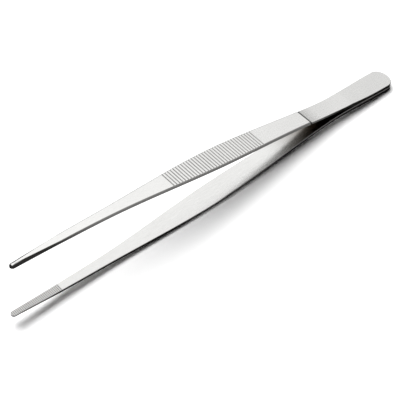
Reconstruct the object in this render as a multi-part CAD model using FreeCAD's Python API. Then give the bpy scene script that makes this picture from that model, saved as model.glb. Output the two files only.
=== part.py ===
import FreeCAD, Part
import math
import os

# Thumb forceps of the plain dressing pattern, 20 cm long, lying as it comes to rest.
# Two sprung steel leaves are welded face to face at the head and stand apart at the jaws.
# Sizes are in millimetres and degrees. A leaf is drawn in the tool's own frame: x runs
# along the tool from the head end, y across it, and z away from the plane between the
# leaves. Stations are x places on the inner face, and heights are square to that face.

# side view of a leaf's inner face
overall_length = 200.0
weld_length = 12.0
heel_radius = 207.0
splay_angle = 7.9
belly_start = 61.0
jaw_angle = 1.0

# leaf thickness
spring_thickness = 1.7
grip_thickness = 1.6

# plan view of a leaf
head_width = 10.5
head_round_length = 4.2
head_length = 9.0
waist_station = 38.0
waist_length = 8.0
waist_width = 8.3
grip_station = 96.7
grip_width = 10.5
jaw_length = 41.0
jaw_width = 4.5
tip_width = 2.5

# shoulder at the head side of the grip, the long shallow hollow ground behind it, and the
# fine notch that the wheel's edge leaves at the shoulder's foot
shoulder_station = 50.5
hollow_station = 46.0
hollow_thickness = 1.16
hollow_radius = 380.0
notch_width = 0.6
notch_depth = 0.35

# cross ribs of the grip
groove_count = 34
groove_pitch = 1.42
groove_width = 0.55
groove_depth = 0.3
first_groove_station = 78.0

# teeth of the jaws
toothed_length = 23.0
tooth_pitch = 0.78
tooth_depth = 0.25
tooth_land = 0.08

# edges
grip_edge_radius = 0.45
edge_break = 0.15

# the outer side of the jaw turns half round toward the tip, above a low flat wall
jaw_round_length = 30.0
jaw_wall_height = 0.7
jaw_axis_height = 0.25

# how far a cutter reaches past what it cuts, and how close counts as touching
beyond = 1.0
touch = 0.001

splay = math.radians(splay_angle)
jaw_lean = math.radians(jaw_angle)
heel_end = weld_length + heel_radius * math.sin(splay)
heel_rise = heel_radius * (1 - math.cos(splay))
belly_rise = heel_rise + (belly_start - heel_end) * math.tan(splay)
belly_radius = (overall_length - belly_start) / (math.sin(splay) + math.sin(jaw_lean))
belly_centre = FreeCAD.Vector(
    belly_start + belly_radius * math.sin(splay), 0, belly_rise - belly_radius * math.cos(splay)
)
hollow_depth = spring_thickness - hollow_thickness
hollow_start = hollow_station - math.sqrt(hollow_depth * (2 * hollow_radius - hollow_depth))
strip_width = 2 * max(head_width, grip_width)


def on_leaf(station, height):
    """The point in side view at a station of the inner face and a height off it."""
    if station < weld_length:
        angle = 0.0
        rise = 0.0
    elif station < heel_end:
        angle = math.asin((station - weld_length) / heel_radius)
        rise = heel_radius * (1 - math.cos(angle))
    elif station < belly_start:
        angle = splay
        rise = heel_rise + (station - heel_end) * math.tan(splay)
    else:
        angle = math.asin((belly_centre.x - station) / belly_radius)
        rise = belly_centre.z + belly_radius * math.cos(angle)
    return FreeCAD.Vector(station - height * math.sin(angle), 0, rise + height * math.cos(angle))


def run(start, end, height):
    """A straight stretch of the side view at one height."""
    return Part.LineSegment(on_leaf(start, height), on_leaf(end, height)).toShape()


def bend(start, end, height):
    """A bent stretch of the side view at one height."""
    middle = on_leaf((start + end) / 2, height)
    return Part.Arc(on_leaf(start, height), middle, on_leaf(end, height)).toShape()


def hollow_height(station):
    """The height of the ground hollow at a station."""
    along = station - hollow_station
    return hollow_thickness + hollow_radius - math.sqrt(hollow_radius**2 - along**2)


def hollow(start, end):
    """A stretch of the ground hollow in side view."""
    stations = (start, (start + end) / 2, end)
    return Part.Arc(*[on_leaf(station, hollow_height(station)) for station in stations]).toShape()


def at_shoulder(along, height):
    """The point in side view at a distance past the shoulder and a height off the inner face."""
    return on_leaf(shoulder_station + along * math.cos(splay), height)


def across(edges):
    """The sheet or the solid that a side view makes when it is drawn out across the tool."""
    drawn = edges.copy()
    drawn.translate(FreeCAD.Vector(0, -strip_width / 2, 0))
    return drawn.extrude(FreeCAD.Vector(0, strip_width, 0))


def spring_face(height):
    """A face of the head and spring in side view at one height, past the head's end."""
    return [
        run(-beyond, weld_length, height),
        bend(weld_length, heel_end, height),
        run(heel_end, shoulder_station, height),
    ]


def grip_face(height):
    """A face of the grip and jaw in side view at one height, past the tip."""
    return [
        run(shoulder_station, belly_start, height),
        bend(belly_start, overall_length + beyond, height),
    ]


def ease(start, end, end_slope):
    """A smooth change of width in plan, which starts along the tool and ends at a slope."""
    third = (end.x - start.x) / 3
    curve = Part.BezierCurve()
    curve.setPoles([
        start,
        start + FreeCAD.Vector(third, 0, 0),
        end - FreeCAD.Vector(third, third * end_slope, 0),
        end,
    ])
    return curve.toShape()


def long_side(side):
    """One long side of the leaf in plan, from the round head to the round tip."""
    head_start = FreeCAD.Vector(head_round_length, side * head_width / 2, 0)
    head_stop = FreeCAD.Vector(head_length, side * head_width / 2, 0)
    waist = FreeCAD.Vector(waist_station, side * waist_width / 2, 0)
    waist_stop = waist + FreeCAD.Vector(waist_length, 0, 0)
    grip = FreeCAD.Vector(grip_station, side * grip_width / 2, 0)
    jaw = FreeCAD.Vector(overall_length - jaw_length, side * jaw_width / 2, 0)
    tip = FreeCAD.Vector(overall_length - tip_width / 2, side * tip_width / 2, 0)
    taper = (tip.y - jaw.y) / (tip.x - jaw.x)
    return [
        Part.LineSegment(head_start, head_stop).toShape(),
        ease(head_stop, waist, 0),
        Part.LineSegment(waist, waist_stop).toShape(),
        ease(waist_stop, grip, 0),
        ease(grip, jaw, taper),
        Part.LineSegment(jaw, tip).toShape(),
    ]


def head_round():
    """The blunt round end of the head in plan, half an ellipse."""
    middle = FreeCAD.Vector(head_round_length, 0, 0)
    half_round = Part.Ellipse(
        middle + FreeCAD.Vector(0, head_width / 2, 0),
        middle - FreeCAD.Vector(head_round_length, 0, 0),
        middle,
    )
    return Part.Arc(half_round, 0, math.pi).toShape()


def tip_round():
    """The half-round end of the jaw in plan."""
    middle = overall_length - tip_width / 2
    return Part.Arc(
        FreeCAD.Vector(middle, tip_width / 2, 0),
        FreeCAD.Vector(overall_length, 0, 0),
        FreeCAD.Vector(middle, -tip_width / 2, 0),
    ).toShape()


def plan():
    """The leaf's plan outline as a block that is taller than the bent strip."""
    edges = long_side(1) + long_side(-1) + [head_round(), tip_round()]
    outline = Part.Face(Part.Wire(Part.sortEdges(edges)[0]))
    outline.translate(FreeCAD.Vector(0, 0, -beyond))
    top = belly_centre.z + belly_radius + grip_thickness
    return outline.extrude(FreeCAD.Vector(0, 0, top + 2 * beyond))


def lies_in(edge, sheet):
    """Whether an edge lies in a sheet."""
    places = [edge.FirstParameter, (edge.FirstParameter + edge.LastParameter) / 2, edge.LastParameter]
    return all(sheet.distToShape(Part.Vertex(edge.valueAt(place)))[0] < touch for place in places)


def rim(blank, face):
    """The edges of a blank in a face that is given in side view, but none straight across it."""
    sheet = across(Part.Wire(face))
    return [edge for edge in blank.Edges if edge.BoundBox.XLength > touch and lies_in(edge, sheet)]


def bar(face, thickness):
    """A bar between a face and its like at a thickness, with the leaf's plan outline."""
    sides = face(0) + face(thickness)
    ends = [
        Part.makeLine(near.Point, far.Point)
        for near, far in zip(
            Part.Wire(face(0)).OrderedVertexes[::len(face(0))],
            Part.Wire(face(thickness)).OrderedVertexes[::len(face(0))],
        )
    ]
    profile = Part.Wire(Part.sortEdges(sides + ends)[0])
    return across(Part.Face(profile)).common(plan()).Solids[0]


def spring():
    """The head and the spring, with broken edges and the long hollow ground in its outer side."""
    blank = bar(spring_face, spring_thickness)
    edges = rim(blank, spring_face(0)) + rim(blank, spring_face(spring_thickness))
    blank = blank.makeChamfer(edge_break, edges)
    end = shoulder_station + beyond
    above = spring_thickness + beyond
    outline = [
        Part.makeLine(on_leaf(hollow_start, spring_thickness), on_leaf(hollow_start, above)),
        Part.makeLine(on_leaf(hollow_start, above), on_leaf(end, above)),
        Part.makeLine(on_leaf(end, above), on_leaf(end, hollow_height(end))),
        hollow(hollow_start, heel_end),
        hollow(heel_end, end),
    ]
    return blank.cut(across(Part.Face(Part.Wire(Part.sortEdges(outline)[0]))))


def brow():
    """A cutter that rounds the top of the shoulder in the same flats as the grip's rim."""
    reach = grip_edge_radius / math.cos(math.pi / 16)
    points = []
    for eighth in range(4):
        turn = (eighth + 0.5) * math.pi / 8
        along = grip_edge_radius - reach * math.cos(turn)
        down = grip_edge_radius - reach * math.sin(turn)
        points.append(at_shoulder(along, grip_thickness - down))
    points += [
        at_shoulder(grip_edge_radius, grip_thickness + beyond),
        at_shoulder(-beyond, grip_thickness + beyond),
        at_shoulder(-beyond, grip_thickness - grip_edge_radius),
    ]
    return across(Part.Face(Part.makePolygon(points + points[:1])))


def grip():
    """The grip and jaw, with the outer rim rounded in three narrow flats, also at the shoulder."""
    blank = bar(grip_face, grip_thickness)
    blank = blank.makeChamfer(edge_break, rim(blank, grip_face(0)))
    flat = grip_edge_radius * (2 - math.sqrt(2))
    top = grip_face(grip_thickness)
    low = grip_face(grip_thickness - flat)
    blank = blank.makeChamfer(flat, rim(blank, top))
    corner_flat = grip_edge_radius * (math.tan(math.pi / 8) - math.tan(math.pi / 16))
    blank = blank.makeChamfer(corner_flat, rim(blank, top) + rim(blank, low))
    return blank.cut(brow())


def comb(first, pitch, count, surface, floor, width):
    """A cutter for a row of vee grooves, each of a width where it meets the surface."""
    peak = surface + (surface - floor) * (pitch / width - 1)
    outside = peak + math.copysign(beyond, surface - floor)
    points = [on_leaf(first - pitch / 2, outside), on_leaf(first - pitch / 2, peak)]
    for groove in range(count):
        station = first + groove * pitch
        points.append(on_leaf(station, floor))
        points.append(on_leaf(station + pitch / 2, peak))
    points.append(on_leaf(first + (count - 0.5) * pitch, outside))
    return across(Part.Face(Part.makePolygon(points + points[:1])))


def half_width_of_jaw(station):
    """Half the width of the straight taper from the jaw to the tip."""
    tip_centre = overall_length - tip_width / 2
    share = (tip_centre - station) / (jaw_length - tip_width / 2)
    return tip_width / 2 + share * (jaw_width - tip_width) / 2


def jaw_rounding():
    """A cutter that leaves the outer side of the jaw half round, more so toward the tip."""
    start = overall_length - jaw_round_length
    centre = overall_length - tip_width / 2
    axis_start = on_leaf(start, jaw_axis_height)
    axis_stop = on_leaf(centre, jaw_axis_height)
    length = (axis_stop - axis_start).Length
    start_radius = math.hypot(half_width_of_jaw(start), grip_thickness - jaw_axis_height)
    tip_radius = math.hypot(tip_width / 2, jaw_wall_height - jaw_axis_height)
    slant = tip_radius * math.sqrt(0.5)
    nose = Part.Arc(
        FreeCAD.Vector(length, 0, tip_radius),
        FreeCAD.Vector(length + slant, 0, slant),
        FreeCAD.Vector(length + tip_radius, 0, 0),
    ).toShape()
    outline = [
        Part.makeLine(FreeCAD.Vector(), FreeCAD.Vector(0, 0, start_radius)),
        Part.makeLine(FreeCAD.Vector(0, 0, start_radius), FreeCAD.Vector(length, 0, tip_radius)),
        nose,
        Part.makeLine(FreeCAD.Vector(length + tip_radius, 0, 0), FreeCAD.Vector()),
    ]
    kept = Part.Face(Part.Wire(outline)).revolve(FreeCAD.Vector(), FreeCAD.Vector(1, 0, 0), 360)
    depth = jaw_axis_height + beyond
    block = Part.makeBox(
        length + tip_width, strip_width, depth + grip_thickness + beyond,
        FreeCAD.Vector(0, -strip_width / 2, -depth),
    )
    cutter = block.cut(kept)
    along = FreeCAD.Rotation(FreeCAD.Vector(1, 0, 0), axis_stop - axis_start)
    cutter.Placement = FreeCAD.Placement(axis_start, along)
    return cutter


def notch():
    """A cutter for the fine notch along the foot of the shoulder."""
    foot = hollow_height(shoulder_station)
    points = [
        at_shoulder(0, foot - notch_depth),
        at_shoulder(0, foot + notch_depth),
        at_shoulder(-2 * notch_width, foot + notch_depth),
    ]
    return across(Part.Face(Part.makePolygon(points + points[:1])))


def leaf(tooth_shift):
    """The leaf on the upper side, with its row of jaw teeth moved along by a shift."""
    blank = spring().fuse(grip())
    ribs = comb(
        first_groove_station, groove_pitch, groove_count,
        grip_thickness, grip_thickness - groove_depth, groove_width,
    )
    first_tooth = overall_length - toothed_length + tooth_shift
    tooth_count = math.ceil((overall_length - first_tooth) / tooth_pitch)
    teeth = comb(first_tooth, tooth_pitch, tooth_count, 0, tooth_depth, tooth_pitch - tooth_land)
    return blank.cut(jaw_rounding()).cut(notch()).cut(ribs).cut(teeth).Solids[0]


def resting_place(pair):
    """Lays the tool on its lower leaf, which touches with its head end and with its belly."""
    head_corner = FreeCAD.Vector(edge_break, 0, -spring_thickness)
    to_centre = FreeCAD.Vector(belly_centre.x, 0, -belly_centre.z) - head_corner
    outer_radius = belly_radius + grip_thickness
    tilt = math.atan2(to_centre.z, to_centre.x) - math.asin(outer_radius / to_centre.Length)
    level = FreeCAD.Rotation(FreeCAD.Vector(0, 1, 0), math.degrees(tilt))
    tips_left = FreeCAD.Rotation(FreeCAD.Vector(0, 0, 1), 180)
    turned = FreeCAD.Placement(FreeCAD.Vector(), tips_left.multiply(level))
    laid = pair.copy()
    laid.Placement = turned
    box = laid.optimalBoundingBox(False)
    turned.Base = FreeCAD.Vector(-box.Center.x, -box.Center.y, -box.ZMin)
    return turned


upper_leaf = leaf(0)
lower_leaf = leaf(tooth_pitch / 2).mirror(FreeCAD.Vector(), FreeCAD.Vector(0, 0, 1))
place = resting_place(Part.Compound([upper_leaf, lower_leaf]))

os.makedirs("parts", exist_ok=True)
for name, solid in (("upper_leaf", upper_leaf), ("lower_leaf", lower_leaf)):
    solid.transformShape(place.toMatrix(), True)
    solid.exportStep("parts/" + name + ".step")
    print(name, "volume", round(solid.Volume, 2), "valid", solid.isValid(), solid.ShapeType)
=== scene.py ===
import math
import bpy
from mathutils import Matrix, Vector

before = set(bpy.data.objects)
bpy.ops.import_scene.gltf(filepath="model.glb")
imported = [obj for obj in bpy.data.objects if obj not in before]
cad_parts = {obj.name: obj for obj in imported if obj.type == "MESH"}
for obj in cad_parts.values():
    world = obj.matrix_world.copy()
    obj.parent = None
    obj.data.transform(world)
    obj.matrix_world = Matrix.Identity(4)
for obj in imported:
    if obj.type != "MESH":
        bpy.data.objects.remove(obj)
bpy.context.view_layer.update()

# The camera stands where the photograph was taken, in metres and degrees.
camera_place = Vector((-0.26592, -0.30127, 0.46912))
camera_azimuth = -40.726
camera_elevation = 49.625
focal_length = 136.44
sensor_width = 36.0
clip_start = 0.05
clip_end = 20.0

# The studio: a high soft key from behind and a little fill, which light a white surface to
# just about white, and a sky that pales toward the zenith, which only reflections show.
key_elevation = 71.0
key_azimuth = 180.0
key_spread = 45.0
key_strength = 3.25
fill_strength = 0.02
sky_levels = ((0.0, 0.7), (0.35, 1.15), (0.5, 1.3), (0.7, 1.48), (1.0, 1.6))

# The floor is pale, and a shade paler still to the camera and in reflections.
floor_size = 6.0
floor_colour = (0.9, 0.9, 0.9, 1.0)
floor_seen_colour = (1.3, 1.3, 1.3, 1.0)
backdrop_colour = (1.0, 1.0, 1.0, 1.0)

# Satin steel: bright ground faces; sides and rib groove walls darkened as painted shade and
# painted reflection; teeth with a painted lit flank and a painted shaded flank; painted shade
# inside the closed end; and edges brightened partly as wear and partly as painted highlight.
face_colour = (0.65, 0.648, 0.638, 1.0)
# Painted shade and reflection: the sides darkened for the shadowed floor they reflect, darkest
# toward the jaw and head.
side_shade_colour = (0.16, 0.158, 0.154, 1.0)
deep_side_shade_colour = (0.02, 0.0195, 0.0185, 1.0)
# Painted shade in the walls of the rib grooves.
groove_shade_colour = (0.3, 0.298, 0.29, 1.0)
# Painted light on the teeth: one flank lit, the other shaded.
tooth_lit_colour = (0.62, 0.616, 0.606, 1.0)
tooth_shaded_colour = (0.07, 0.069, 0.067, 1.0)
# Painted shade and reflection of the dark wedge inside the closed end.
closed_end_shade_colour = (0.1, 0.078, 0.058, 1.0)
# Edges brightened partly as wear and partly as painted highlight.
edge_wear_and_highlight_colour = (0.8, 0.8, 0.79, 1.0)
grazing_tint = (0.3, 0.3, 0.3, 1.0)
face_roughness = 0.27
inner_roughness = 0.2
side_roughness = 0.42

# How far a surface turns, as a part of its normal, before it counts as a side, as a wall
# across the leaf, as the leaf's inner side, or as an edge.
across_from = 0.15
across_to = 0.45
jaw_across_from = 0.25
jaw_across_to = 0.5
inner_across_from = 0.8
inner_across_to = 0.95
along_from = 0.3
along_to = 0.55
inner_from = 0.4
inner_to = 0.6
edge_from = 0.99
edge_to = 0.9

# Places along the tool, in metres from its middle toward the head.
jaw_start = -0.06
jaw_end = -0.084
bright_edge_start = 0.02
bright_edge_end = -0.01
ribs_start = 0.024
ribs_end = -0.028
teeth_end = -0.0775
blend_length = 0.001
shoulder_start = 0.0535
shoulder_end = 0.0475
# The painted shade behind the shoulder's foot, its painted shadow line, and its rise toward the
# head.
foot_place = 0.0505
foot_reach = 0.008
shadow_line_reach = 0.0012
head_place = 0.095
# The painted shade inside the closed end, from where it starts to where it is full.
closed_end_shade_from = 0.03
closed_end_shade_to = 0.06

# How much painted shade darkens the steel on the spring, at the head, behind the shoulder's
# foot, in a painted shadow line along that foot, and on the inner side of each leaf.
spring_shade_share = 0.08
head_shade_share = 0.2
foot_shade_share = 0.22
shadow_line_share = 0.8
upper_inner_shade_share = 0.52
lower_inner_shade_share = 0.12

# How the face of each leaf leans along the tool at the shoulder and at the tip, as the
# normal's part along the tool.
shoulder_place = 0.04
tip_place = -0.098
upper_lean = (0.228, 0.078)
lower_lean = (-0.045, 0.106)

# Where the painted shade on the sides of each leaf deepens toward the jaw and toward the head,
# standing in for the shadowed floor that the sides reflect.
upper_deep_shade = ((-0.055, -0.085), (0.05, 0.07))
lower_deep_shade = ((-0.005, -0.03), (0.02, 0.045))

# The grain of the steel: fine scratches along the leaf, a fine matt grain and slow clouds.
scratch_stretch = (0.06, 1.0, 1.0)
scratch_scale = 4200.0
scratch_detail = 3.0
scratch_share = 0.1
grain_scale = 2600.0
cloud_scale = 60.0
soft_detail = 2.0
cloud_share = 0.05
roughness_share = 0.12
bump_height = 0.000012
bump_strength = 0.3
# The edges, brightened partly as wear and partly as painted highlight.
edge_radius = 0.00012
edge_wear_and_highlight_share = 0.2


def direction(azimuth, elevation):
    a = math.radians(azimuth)
    e = math.radians(elevation)
    return Vector((math.sin(a) * math.cos(e), -math.cos(a) * math.cos(e), math.sin(e)))


def turn_to(thing, azimuth, elevation):
    thing.rotation_mode = "QUATERNION"
    thing.rotation_quaternion = (-direction(azimuth, elevation)).to_track_quat("-Z", "Y")


def make_camera():
    lens = bpy.data.cameras.new("camera")
    lens.lens = focal_length
    lens.sensor_width = sensor_width
    lens.clip_start = clip_start
    lens.clip_end = clip_end
    camera = bpy.data.objects.new("camera", lens)
    bpy.context.scene.collection.objects.link(camera)
    camera.location = camera_place
    turn_to(camera, camera_azimuth, camera_elevation)
    bpy.context.scene.camera = camera


def make_key():
    lamp = bpy.data.lights.new("key", "SUN")
    lamp.energy = key_strength
    lamp.angle = math.radians(key_spread)
    key = bpy.data.objects.new("key", lamp)
    bpy.context.scene.collection.objects.link(key)
    turn_to(key, key_azimuth, key_elevation)
    key.visible_glossy = False


class Shading:
    """Short names for the nodes of one material or of the world."""

    def __init__(self, owner):
        owner.use_nodes = True
        self.nodes = owner.node_tree.nodes
        self.links = owner.node_tree.links

    def new(self, kind):
        return self.nodes.new("ShaderNode" + kind)

    def feed(self, socket, value):
        if isinstance(value, bpy.types.NodeSocket):
            self.links.new(value, socket)
        else:
            socket.default_value = value

    def math(self, operation, *values):
        node = self.new("Math")
        node.operation = operation
        for socket, value in zip(node.inputs, values):
            self.feed(socket, value)
        return node.outputs[0]

    def step(self, value, low, high):
        node = self.new("MapRange")
        node.interpolation_type = "SMOOTHSTEP"
        self.feed(node.inputs["Value"], value)
        self.feed(node.inputs["From Min"], low)
        self.feed(node.inputs["From Max"], high)
        return node.outputs["Result"]

    def spread(self, value, low, high):
        node = self.new("MapRange")
        self.feed(node.inputs["Value"], value)
        self.feed(node.inputs["To Min"], low)
        self.feed(node.inputs["To Max"], high)
        return node.outputs["Result"]

    def between(self, factor, first, second):
        node = self.new("Mix")
        self.feed(node.inputs["Factor"], factor)
        self.feed(node.inputs["A"], first)
        self.feed(node.inputs["B"], second)
        return node.outputs["Result"]

    def mix(self, factor, first, second):
        node = self.new("Mix")
        node.data_type = "RGBA"
        self.feed(node.inputs["Factor"], factor)
        self.feed(node.inputs["A"], first)
        self.feed(node.inputs["B"], second)
        return node.outputs["Result"]

    def noise(self, place, scale, detail):
        node = self.new("TexNoise")
        self.feed(node.inputs["Vector"], place)
        self.feed(node.inputs["Scale"], scale)
        self.feed(node.inputs["Detail"], detail)
        return node.outputs["Fac"]

    def seen(self):
        path = self.new("LightPath")
        either = self.math("MAXIMUM", path.outputs["Is Camera Ray"], path.outputs["Is Glossy Ray"])
        return self.math("MAXIMUM", either, path.outputs["Is Transmission Ray"])


def make_world():
    world = bpy.data.worlds.new("studio")
    bpy.context.scene.world = world
    shading = Shading(world)
    place = shading.new("TexCoord")
    split = shading.new("SeparateXYZ")
    shading.feed(split.inputs[0], place.outputs["Generated"])
    sky = shading.new("ValToRGB")
    stops = sky.color_ramp.elements
    for number, (height, level) in enumerate(sky_levels):
        if number < 2:
            stop = stops[number]
            stop.position = height
        else:
            stop = stops.new(height)
        stop.color = (level, level, level, 1.0)
    shading.feed(sky.inputs["Fac"], split.outputs["Z"])
    fill = (fill_strength, fill_strength, fill_strength, 1.0)
    light = shading.mix(shading.seen(), fill, sky.outputs["Color"])
    path = shading.new("LightPath")
    light = shading.mix(path.outputs["Is Camera Ray"], light, backdrop_colour)
    shading.feed(shading.nodes["Background"].inputs["Color"], light)


def make_floor():
    half = floor_size / 2
    mesh = bpy.data.meshes.new("floor")
    corners = [(-half, -half, 0), (half, -half, 0), (half, half, 0), (-half, half, 0)]
    mesh.from_pydata(corners, [], [(0, 1, 2, 3)])
    floor = bpy.data.objects.new("floor", mesh)
    bpy.context.scene.collection.objects.link(floor)
    material = bpy.data.materials.new("floor")
    shading = Shading(material)
    shader = shading.nodes["Principled BSDF"]
    shader.inputs["Roughness"].default_value = 1.0
    shader.inputs["Specular IOR Level"].default_value = 0.0
    colour = shading.mix(shading.seen(), floor_colour, floor_seen_colour)
    shading.feed(shader.inputs["Base Color"], colour)
    mesh.materials.append(material)


def across_mask(shading, facing, spot, inner):
    """Where the steel faces sideways, which starts later on the jaw and on the inner side."""
    level = shading.math("ABSOLUTE", facing.outputs["Y"])
    on_jaw = shading.step(spot.outputs["X"], jaw_end, jaw_start)
    low = shading.spread(on_jaw, jaw_across_from, across_from)
    high = shading.spread(on_jaw, jaw_across_to, across_to)
    bright = shading.step(spot.outputs["X"], bright_edge_start, bright_edge_end)
    inner = shading.math("MULTIPLY", inner, bright)
    low = shading.between(inner, low, inner_across_from)
    high = shading.between(inner, high, inner_across_to)
    return shading.step(level, low, high)


def turn_along(shading, facing, spot, lean):
    """How far the steel turns along the tool, measured from the lean of the leaf's own face."""
    face_lean = shading.new("MapRange")
    shading.feed(face_lean.inputs["Value"], spot.outputs["X"])
    shading.feed(face_lean.inputs["From Min"], tip_place)
    shading.feed(face_lean.inputs["From Max"], shoulder_place)
    shading.feed(face_lean.inputs["To Min"], lean[1])
    shading.feed(face_lean.inputs["To Max"], lean[0])
    upright = shading.math("SIGN", facing.outputs["Z"])
    turned = shading.math("MULTIPLY", facing.outputs["X"], upright)
    return shading.math("SUBTRACT", turned, face_lean.outputs["Result"])


def rib_mask(shading, spot):
    """The stretch with the ribs."""
    after = shading.step(spot.outputs["X"], ribs_end, ribs_end + blend_length)
    before = shading.step(spot.outputs["X"], ribs_start + blend_length, ribs_start)
    return shading.math("MULTIPLY", after, before)


def tooth_mask(shading, spot, inner):
    """The stretch of the inner side with the teeth."""
    teeth = shading.step(spot.outputs["X"], teeth_end + blend_length, teeth_end)
    return shading.math("MULTIPLY", teeth, inner)


def deep_shade_mask(shading, spot, across, deep_shade):
    """Where painted shade makes the sides darkest, toward the jaw and the head, and the whole of
    the notch, as painted shadow in its recess.
    """
    to_jaw = shading.step(spot.outputs["X"], *deep_shade[0])
    to_head = shading.step(spot.outputs["X"], *deep_shade[1])
    before = shading.math("LESS_THAN", spot.outputs["X"], shoulder_start)
    after = shading.math("GREATER_THAN", spot.outputs["X"], shoulder_end)
    off_side = shading.math("SUBTRACT", 1.0, across)
    # The notch gets the deepest painted shade, as a shadow in its recess.
    notch = shading.math("MULTIPLY", shading.math("MULTIPLY", before, after), off_side)
    return shading.math("MAXIMUM", shading.math("MAXIMUM", to_jaw, to_head), notch)


def painted_face_shade(shading, spot, inner, inner_shade_share):
    """What is left of the colour under painted shade: on the spring, toward the head, behind the
    shoulder's foot, in a painted shadow line along that foot, and on the leaf's inner side.
    """
    behind = shading.math("GREATER_THAN", spot.outputs["X"], foot_place)
    near = shading.step(spot.outputs["X"], foot_place + foot_reach, foot_place)
    rise = shading.step(spot.outputs["X"], foot_place + foot_reach, head_place)
    # A painted shadow line along the shoulder's foot.
    shadow_line = shading.step(spot.outputs["X"], foot_place + shadow_line_reach, foot_place)
    shade_amount = shading.math("ADD", spring_shade_share, shading.math("MULTIPLY", near, foot_shade_share))
    shade_amount = shading.math("ADD", shade_amount, shading.math("MULTIPLY", shadow_line, shadow_line_share))
    shade_amount = shading.math("ADD", shade_amount, shading.math("MULTIPLY", rise, head_shade_share - spring_shade_share))
    shade_amount = shading.math("MULTIPLY", shade_amount, behind)
    shade_amount = shading.between(inner, shade_amount, inner_shade_share)
    return shading.math("SUBTRACT", 1.0, shade_amount)


def edge_mask(shading):
    """The crisp edges, brightened partly by wear from handling and partly as a painted highlight.
    """
    rounded = shading.new("Bevel")
    shading.feed(rounded.inputs["Radius"], edge_radius)
    flat = shading.new("NewGeometry")
    turned = shading.new("VectorMath")
    turned.operation = "DOT_PRODUCT"
    shading.feed(turned.inputs[0], rounded.outputs["Normal"])
    shading.feed(turned.inputs[1], flat.outputs["Normal"])
    return shading.step(turned.outputs["Value"], edge_from, edge_to)


def wall_colour(shading, spot, inner, turn, sides):
    """The walls of the ribs in painted shade, the tooth flanks as a painted lit flank and a
    painted shaded flank, and the other walls across the leaf in the sides' painted shade.
    """
    # Painted shade on the rib groove walls; painted light and shade on the two tooth flanks.
    walls = shading.mix(rib_mask(shading, spot), sides, groove_shade_colour)
    back = shading.math("GREATER_THAN", turn, 0.0)
    flanks = shading.mix(back, tooth_lit_colour, tooth_shaded_colour)
    return shading.mix(tooth_mask(shading, spot, inner), walls, flanks)


def steel_colour(shading, spot, inner, across, turn, along, deep_shade):
    """The colour of the faces, walls, closed end, sides and edges, before its tone; the sides,
    groove walls, tooth flanks and closed end carry painted shade and reflection, and the edges
    wear and a painted highlight.
    """
    # Painted shade on the sides, for the shadowed floor they reflect, deepest toward the jaw, the
    # head and in the notch.
    sides = shading.mix(deep_shade_mask(shading, spot, across, deep_shade), side_shade_colour, deep_side_shade_colour)
    walls = wall_colour(shading, spot, inner, turn, sides)
    colour = shading.mix(along, face_colour, walls)
    # Painted shade and reflection inside the closed end.
    closed_end_shade = shading.math("MULTIPLY", inner, shading.step(spot.outputs["X"], closed_end_shade_from, closed_end_shade_to))
    colour = shading.mix(closed_end_shade, colour, closed_end_shade_colour)
    colour = shading.mix(across, colour, shading.mix(inner, sides, side_shade_colour))
    # Edges brightened partly as wear and partly as painted highlight.
    edges = shading.math("MULTIPLY", edge_mask(shading), edge_wear_and_highlight_share)
    return shading.mix(edges, colour, edge_wear_and_highlight_colour)


def scaled(shading, colour, amount):
    node = shading.new("VectorMath")
    node.operation = "SCALE"
    shading.feed(node.inputs[0], colour)
    shading.feed(node.inputs["Scale"], amount)
    return node.outputs["Vector"]


def bumped(shading, height):
    node = shading.new("Bump")
    shading.feed(node.inputs["Height"], height)
    shading.feed(node.inputs["Distance"], bump_height)
    shading.feed(node.inputs["Strength"], bump_strength)
    return node.outputs["Normal"]


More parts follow.
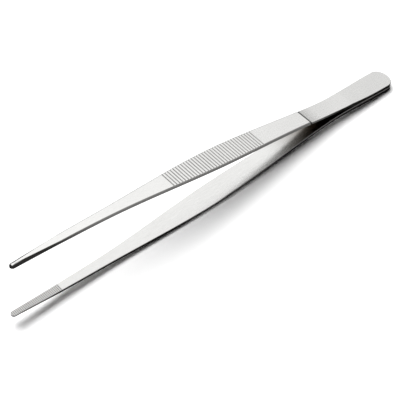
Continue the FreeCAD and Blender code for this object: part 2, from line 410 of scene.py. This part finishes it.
def make_steel(name, inner_sign, lean, deep_shade, inner_shade_share):
    material = bpy.data.materials.new(name)
    shading = Shading(material)
    shader = shading.nodes["Principled BSDF"]
    place = shading.new("TexCoord")
    facing = shading.new("SeparateXYZ")
    shading.feed(facing.inputs[0], place.outputs["Normal"])
    spot = shading.new("SeparateXYZ")
    shading.feed(spot.inputs[0], place.outputs["Object"])

    stretched = shading.new("Mapping")
    shading.feed(stretched.inputs["Vector"], place.outputs["Object"])
    shading.feed(stretched.inputs["Scale"], scratch_stretch)
    scratches = shading.noise(stretched.outputs["Vector"], scratch_scale, scratch_detail)
    grain = shading.noise(place.outputs["Object"], grain_scale, soft_detail)
    clouds = shading.noise(place.outputs["Object"], cloud_scale, soft_detail)

    inward = shading.math("MULTIPLY", facing.outputs["Z"], inner_sign)
    inner = shading.step(inward, inner_from, inner_to)
    across = across_mask(shading, facing, spot, inner)
    turn = turn_along(shading, facing, spot, lean)
    along = shading.step(shading.math("ABSOLUTE", turn), along_from, along_to)

    colour = steel_colour(shading, spot, inner, across, turn, along, deep_shade)
    fine_tone = shading.spread(scratches, 1.0 - scratch_share, 1.0 + scratch_share)
    slow_tone = shading.spread(clouds, -cloud_share, cloud_share)
    tone = shading.math("ADD", fine_tone, slow_tone)
    # The tone also takes on the painted shade here.
    tone = shading.math("MULTIPLY", tone, painted_face_shade(shading, spot, inner, inner_shade_share))
    shading.feed(shader.inputs["Base Color"], scaled(shading, colour, tone))

    side = shading.math("MAXIMUM", across, along)
    roughness = shading.spread(inner, face_roughness, inner_roughness)
    roughness = shading.between(side, roughness, side_roughness)
    uneven = shading.spread(grain, -roughness_share, roughness_share)
    shading.feed(shader.inputs["Roughness"], shading.math("ADD", roughness, uneven))

    relief = shading.math("ADD", scratches, grain)
    shading.feed(shader.inputs["Normal"], bumped(shading, relief))
    shader.inputs["Metallic"].default_value = 1.0
    shader.inputs["Specular Tint"].default_value = grazing_tint
    return material


bpy.context.scene.view_settings.view_transform = "Standard"
make_camera()
make_key()
make_world()
make_floor()
for name, inner_sign, lean, deep_shade, inner_shade_share in (
    ("upper_leaf", -1.0, upper_lean, upper_deep_shade, upper_inner_shade_share),
    ("lower_leaf", 1.0, lower_lean, lower_deep_shade, lower_inner_shade_share),
):
    steel = make_steel(name + "_steel", inner_sign, lean, deep_shade, inner_shade_share)
    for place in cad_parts[name].material_slots:
        place.material = steel
